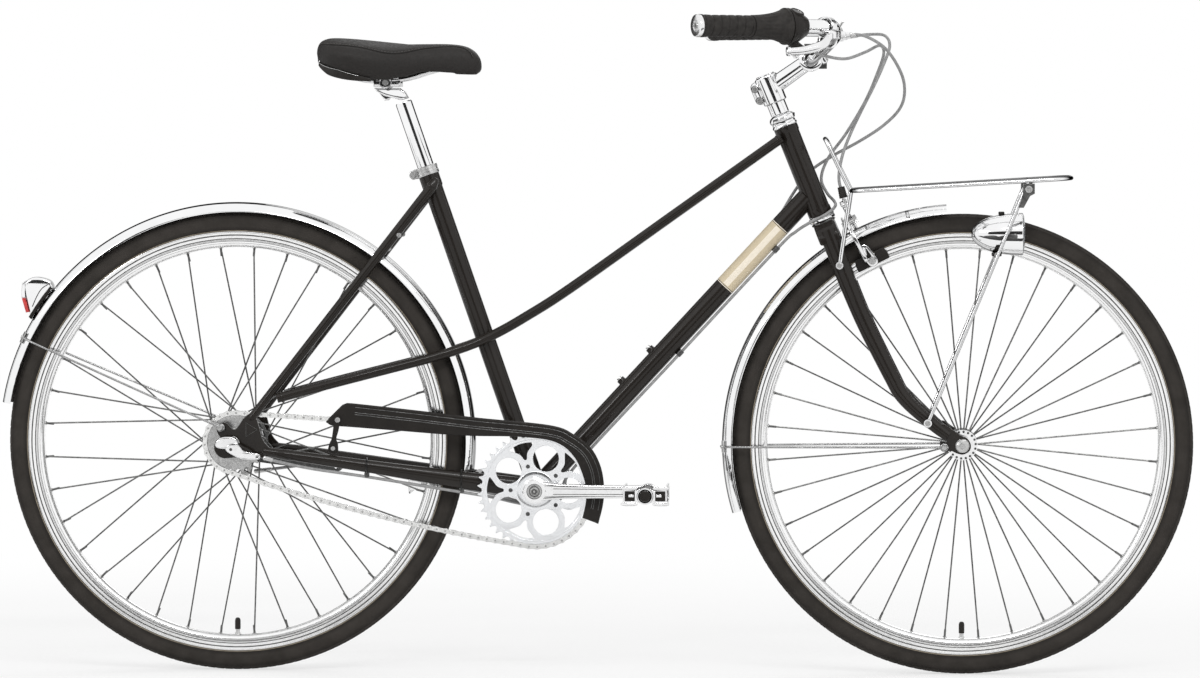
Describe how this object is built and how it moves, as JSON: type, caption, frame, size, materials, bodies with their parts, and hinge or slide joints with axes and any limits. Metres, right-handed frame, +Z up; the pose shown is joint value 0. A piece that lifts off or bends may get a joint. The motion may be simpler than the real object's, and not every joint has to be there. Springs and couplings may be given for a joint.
{
  "type": "city bicycle",
  "caption": "Black step-through city bicycle with a front rack, chrome mudguards, chainguard, twist shifter, hub gear and lamps.",
  "frame": {"origin": "on the ground, midway along the bicycle's length, in the plane of its wheels", "axes": "+X forward, +Y to the rider's left, +Z up; the chain is on the -Y side"},
  "size_m": [1.7953, 0.6014, 0.9992],
  "materials": {
    "painted_frame": "semi-gloss",
    "chrome": "polished",
    "alloy": "polished",
    "bright_steel": "satin",
    "dark_steel": "dark satin",
    "rubber": "matte",
    "tyre": "matte",
    "plastic": "satin",
    "cover": "grained",
    "cable": "satin",
    "red_lens": "glossy",
    "clear_lens": "clear"
  },
  "bodies": {
    "frame": {"frame": "painted_frame", "headset_lower_cup": "chrome", "headset_upper_cup": "chrome", "bottom_bracket": "dark_steel", "seatpost_clamp": "alloy", "chainguard": "plastic", "rear_mudguard": "chrome", "rear_lamp_housing": "plastic", "rear_lamp_lens": "red_lens", "rear_axle": "bright_steel", "bell_crank": "plastic", "roller_brake": "dark_steel", "chain": "bright_steel", "rear_brake_cable": "cable", "shift_cable": "cable"},
    "steering": {"fork": "painted_frame", "headset_locknut": "chrome", "stem": "alloy", "handlebar": "alloy", "left_grip": "rubber", "right_grip": "rubber", "shifter_housing": "plastic", "right_brake_bracket": "alloy", "left_brake_bracket": "alloy", "bell": "chrome", "front_rack": "chrome", "front_mudguard": "chrome", "headlamp_housing": "chrome", "headlamp_lens": "clear_lens", "front_axle": "chrome", "brake_bridge": "bright_steel", "front_brake_cable": "cable"},
    "front_wheel": {"front_tyre": "tyre", "front_rim": "alloy", "front_hub": "bright_steel"},
    "rear_wheel": {"rear_tyre": "tyre", "rear_rim": "alloy", "rear_hub": "bright_steel"},
    "rear_sprocket": {"rear_sprocket": "bright_steel"},
    "crankset": {"bb_spindle": "bright_steel", "chainring": "alloy", "right_crank": "alloy", "left_crank": "alloy", "right_pedal_axle": "bright_steel", "left_pedal_axle": "bright_steel"},
    "right_pedal": {"right_pedal": "dark_steel"},
    "left_pedal": {"left_pedal": "dark_steel"},
    "seatpost": {"seatpost": "alloy"},
    "saddle": {"saddle_cover": "cover", "saddle_shell": "plastic", "saddle_rails": "chrome", "saddle_clamp": "alloy"},
    "shift_twist_grip": {"shift_twist_grip": "rubber"},
    "bell_crank_arm": {"bell_crank_arm": "bright_steel"},
    "right_brake_lever": {"right_brake_lever": "alloy"},
    "roller_brake_arm": {"roller_brake_arm": "bright_steel"},
    "left_brake_lever": {"left_brake_lever": "alloy"},
    "right_caliper_arm": {"right_caliper_arm": "alloy"},
    "left_caliper_arm": {"left_caliper_arm": "alloy"},
    "bell_striker": {"bell_striker": "bright_steel"}
  },
  "joints": [
    {"name": "steering_turn", "type": "hinge", "parent": "frame", "child": "steering", "pos_m": [0.3115, 0, 0.756], "axis": [-0.3746, 0, 0.9272], "range_deg": [-60, 60], "deforming": ["rear_brake_cable", "shift_cable"]},
    {"name": "front_wheel_spin", "type": "hinge", "parent": "steering", "child": "front_wheel", "pos_m": [0.5518, 0, 0.346], "axis": [0, 1, 0], "continuous": true},
    {"name": "rear_wheel_spin", "type": "hinge", "parent": "frame", "child": "rear_wheel", "pos_m": [-0.5415, 0, 0.346], "axis": [0, 1, 0], "continuous": true},
    {"name": "crank_spin", "type": "hinge", "parent": "frame", "child": "crankset", "pos_m": [-0.0875, 0, 0.276], "axis": [0, 1, 0], "continuous": true},
    {"name": "sprocket_spin", "type": "hinge", "parent": "frame", "child": "rear_sprocket", "pos_m": [-0.5415, 0, 0.346], "axis": [0, 1, 0], "continuous": true},
    {"name": "right_pedal_spin", "type": "hinge", "parent": "crankset", "child": "right_pedal", "pos_m": [0.0825, -0.135, 0.276], "axis": [0, 1, 0], "continuous": true},
    {"name": "left_pedal_spin", "type": "hinge", "parent": "crankset", "child": "left_pedal", "pos_m": [-0.2575, 0.135, 0.276], "axis": [0, 1, 0], "continuous": true},
    {"name": "seat_height", "type": "slide", "parent": "frame", "child": "seatpost", "axis": [-0.3293, 0, 0.9442], "range_m": [-0.09, 0.07]},
    {"name": "saddle_tilt", "type": "hinge", "parent": "seatpost", "child": "saddle", "pos_m": [-0.3125, 0, 0.876], "axis": [0, 1, 0], "range_deg": [-10, 10]},
    {"name": "twist_shift", "type": "hinge", "parent": "steering", "child": "shift_twist_grip", "pos_m": [0.1595, -0.287, 0.97], "axis": [0.8565, 0.5161, 0], "range_deg": [-30, 30], "deforming": ["shift_cable"]},
    {"name": "bell_crank_swing", "type": "hinge", "parent": "frame", "child": "bell_crank_arm", "pos_m": [-0.5415, -0.095, 0.338], "axis": [0, 1, 0], "range_deg": [-6, 6], "deforming": ["shift_cable"]},
    {"name": "right_lever_pull", "type": "hinge", "parent": "steering", "child": "right_brake_lever", "pos_m": [0.352, -0.192, 0.957], "axis": [-0.3404, 0.7162, -0.6093], "range_deg": [0, 12], "stiffness_Nm_per_rad": 1.2, "springref_deg": -14.32, "deforming": ["rear_brake_cable"]},
    {"name": "roller_brake_swing", "type": "hinge", "parent": "frame", "child": "roller_brake_arm", "pos_m": [-0.5355, 0.06, 0.314], "axis": [0, -1, 0], "range_deg": [0, 12], "deforming": ["rear_brake_cable"]},
    {"name": "left_lever_pull", "type": "hinge", "parent": "steering", "child": "left_brake_lever", "pos_m": [0.352, 0.192, 0.957], "axis": [0.3404, 0.7162, 0.6093], "range_deg": [0, 12], "stiffness_Nm_per_rad": 1.2, "springref_deg": -14.32, "deforming": ["front_brake_cable"]},
    {"name": "right_caliper_close", "type": "hinge", "parent": "steering", "child": "right_caliper_arm", "pos_m": [0.3695, 0, 0.672], "axis": [0.8879, 0, 0.46], "range_deg": [0, 1.2], "deforming": ["front_brake_cable"]},
    {"name": "left_caliper_close", "type": "hinge", "parent": "steering", "child": "left_caliper_arm", "pos_m": [0.36812, 0.022, 0.67466], "axis": [-0.8879, 0, -0.46], "range_deg": [0, 1.2], "deforming": ["front_brake_cable"]},
    {"name": "bell_striker_flick", "type": "hinge", "parent": "steering", "child": "bell_striker", "pos_m": [0.36495, -0.10503, 0.96318], "axis": [0, 1, 0], "range_deg": [0, 15], "stiffness_Nm_per_rad": 0.02, "springref_deg": -20.05}
  ],
  "couplings": [
    {"joint": "sprocket_spin", "follows": "crank_spin", "ratio": 1.9091},
    {"joint": "bell_crank_swing", "follows": "twist_shift", "ratio": 0.2},
    {"joint": "roller_brake_swing", "follows": "right_lever_pull", "ratio": 0.8},
    {"joint": "right_caliper_close", "follows": "left_lever_pull", "ratio": 0.1},
    {"joint": "left_caliper_close", "follows": "left_lever_pull", "ratio": 0.1}
  ]
}
